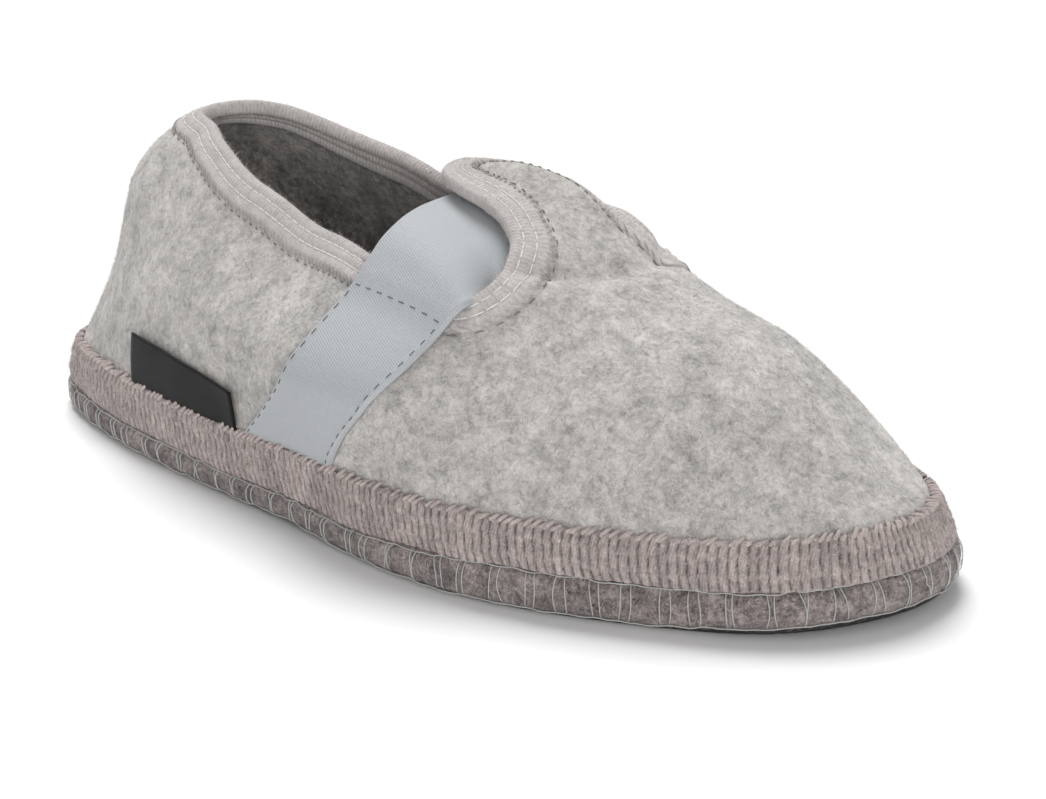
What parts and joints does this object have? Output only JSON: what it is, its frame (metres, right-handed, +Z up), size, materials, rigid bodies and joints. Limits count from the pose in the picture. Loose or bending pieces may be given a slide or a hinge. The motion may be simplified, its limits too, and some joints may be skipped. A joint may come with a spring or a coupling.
{
  "type": "felt slipper",
  "caption": "Low felt house slipper for the right foot, with a knitted ribbed band round the sole, a taped opening and an elastic strap passing under the instep tab.",
  "frame": {"origin": "on the floor, in the middle of the shoe's length and width", "axes": "+X from heel to toe, +Y to the inner side of the foot, +Z up"},
  "size_m": [0.247, 0.1053, 0.0751],
  "materials": {
    "outsole": "near-black thin sole sheet, matt, lightly grained",
    "sole_felt": "dense brown-grey wool felt edge, matted, with light blanket stitches",
    "footbed_felt": "grey wool felt footbed",
    "upper_felt": "light warm-grey heather wool felt with darker flecks and a short fuzzy nap",
    "rand_knit": "coarse ribbed knit, taupe, matted at the heel",
    "binding_knit": "knitted tape, pinkish taupe, with two light rows of stitches",
    "elastic": "light blue-grey elastic with a fine diagonal twill",
    "label": "plain black woven tab, bare"
  },
  "bodies": {
    "root": {"outsole": "outsole", "midsole": "sole_felt", "insole": "footbed_felt", "upper": "upper_felt", "rand": "rand_knit", "opening_binding": "binding_knit", "strap": "elastic", "side_label": "label"}
  },
  "joints": []
}
